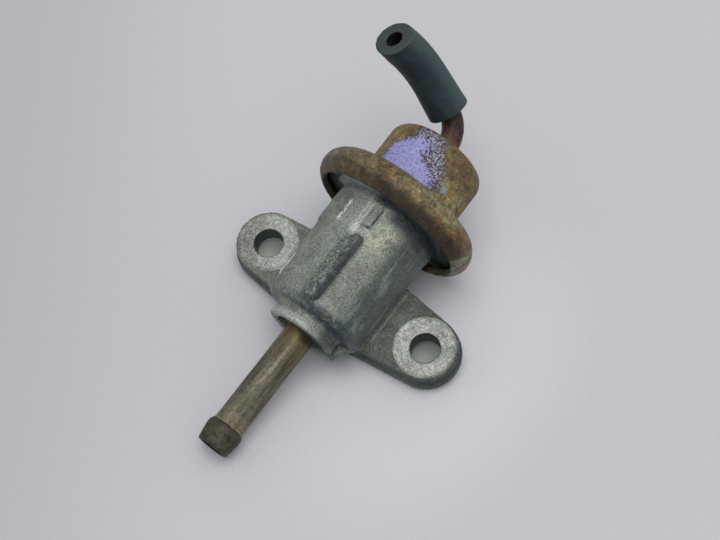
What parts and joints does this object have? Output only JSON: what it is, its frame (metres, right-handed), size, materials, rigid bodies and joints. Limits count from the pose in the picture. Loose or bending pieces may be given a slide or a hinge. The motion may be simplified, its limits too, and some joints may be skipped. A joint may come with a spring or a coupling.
{
  "type": "fuel pressure regulator",
  "caption": "Die-cast fuel pressure regulator with a two-bolt flange, rolled steel cover and dome, bent vacuum pipe with a hose stub and a beaded return pipe.",
  "frame": {"origin": "centre of the fuel inlet on the flange's mounting face, midway between the bolt holes", "axes": "+Z out of the mounting face into the body, X along the row of bolt holes, +Y along the body towards the return pipe's end"},
  "size_m": [0.0544, 0.0887, 0.04],
  "materials": {
    "cast_aluminium": "dull grainy die casting with grey stains",
    "rusted_zinc": "corroded yellow zinc plating with rust and a blotch of lavender paint",
    "rusted_pipe": "brown rust",
    "plated_pipe": "worn olive plating, satin",
    "hose_rubber": "matte aged rubber",
    "seal_rubber": "matte black rubber",
    "seat_brass": "turned brass",
    "bright_steel": "turned and pressed steel",
    "spring_steel": "dark spring wire"
  },
  "bodies": {
    "regulator_body": {"body_casting": "cast_aluminium", "inlet_o_ring": "seal_rubber", "return_pipe": "plated_pipe", "valve_seat": "seat_brass", "diaphragm": "seal_rubber", "main_spring": "spring_steel", "cover": "rusted_zinc", "vacuum_pipe": "rusted_pipe", "vacuum_hose": "hose_rubber"},
    "valve_group": {"valve": "bright_steel", "valve_retainer": "bright_steel", "valve_holder": "bright_steel", "lower_plate": "bright_steel", "spring_seat": "bright_steel"}
  },
  "joints": [
    {"name": "valve_lift", "type": "slide", "parent": "regulator_body", "child": "valve_group", "axis": [0, -1, 0], "range_m": [0, 0.0008], "stiffness_N_per_m": 500, "springref_m": -0.0005, "deforming": ["main_spring", "diaphragm"]}
  ]
}
